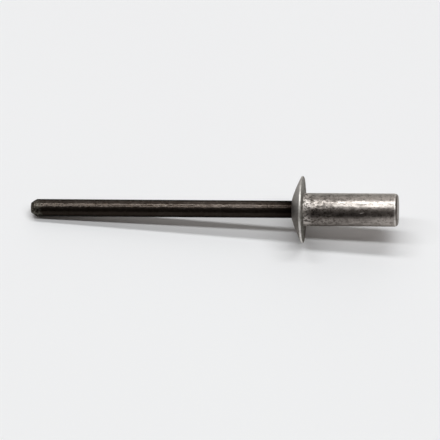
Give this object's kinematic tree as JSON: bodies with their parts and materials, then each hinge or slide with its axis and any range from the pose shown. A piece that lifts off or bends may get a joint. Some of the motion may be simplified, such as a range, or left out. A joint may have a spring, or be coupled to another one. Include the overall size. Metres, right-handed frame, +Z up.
{
  "type": "closed-end pop rivet",
  "caption": "Closed-end blind rivet before it is set: an aluminium cup with a low dome head on a dark steel mandrel with a pinched point.",
  "frame": {"origin": "on the table, under the middle of the lying rivet's bounding box", "axes": "+X along the rivet towards its closed end, +Z up from the table. The rivet lies on the rim of its dome head and on its mandrel, so its own axis rises towards the closed end by 5.20 degrees"},
  "size_m": [0.0364, 0.0066, 0.0065],
  "materials": {
    "aluminium_cup": "satin",
    "dark_steel": "satin"
  },
  "bodies": {
    "root": {"rivet_body": "aluminium_cup", "mandrel": "dark_steel"}
  },
  "joints": []
}
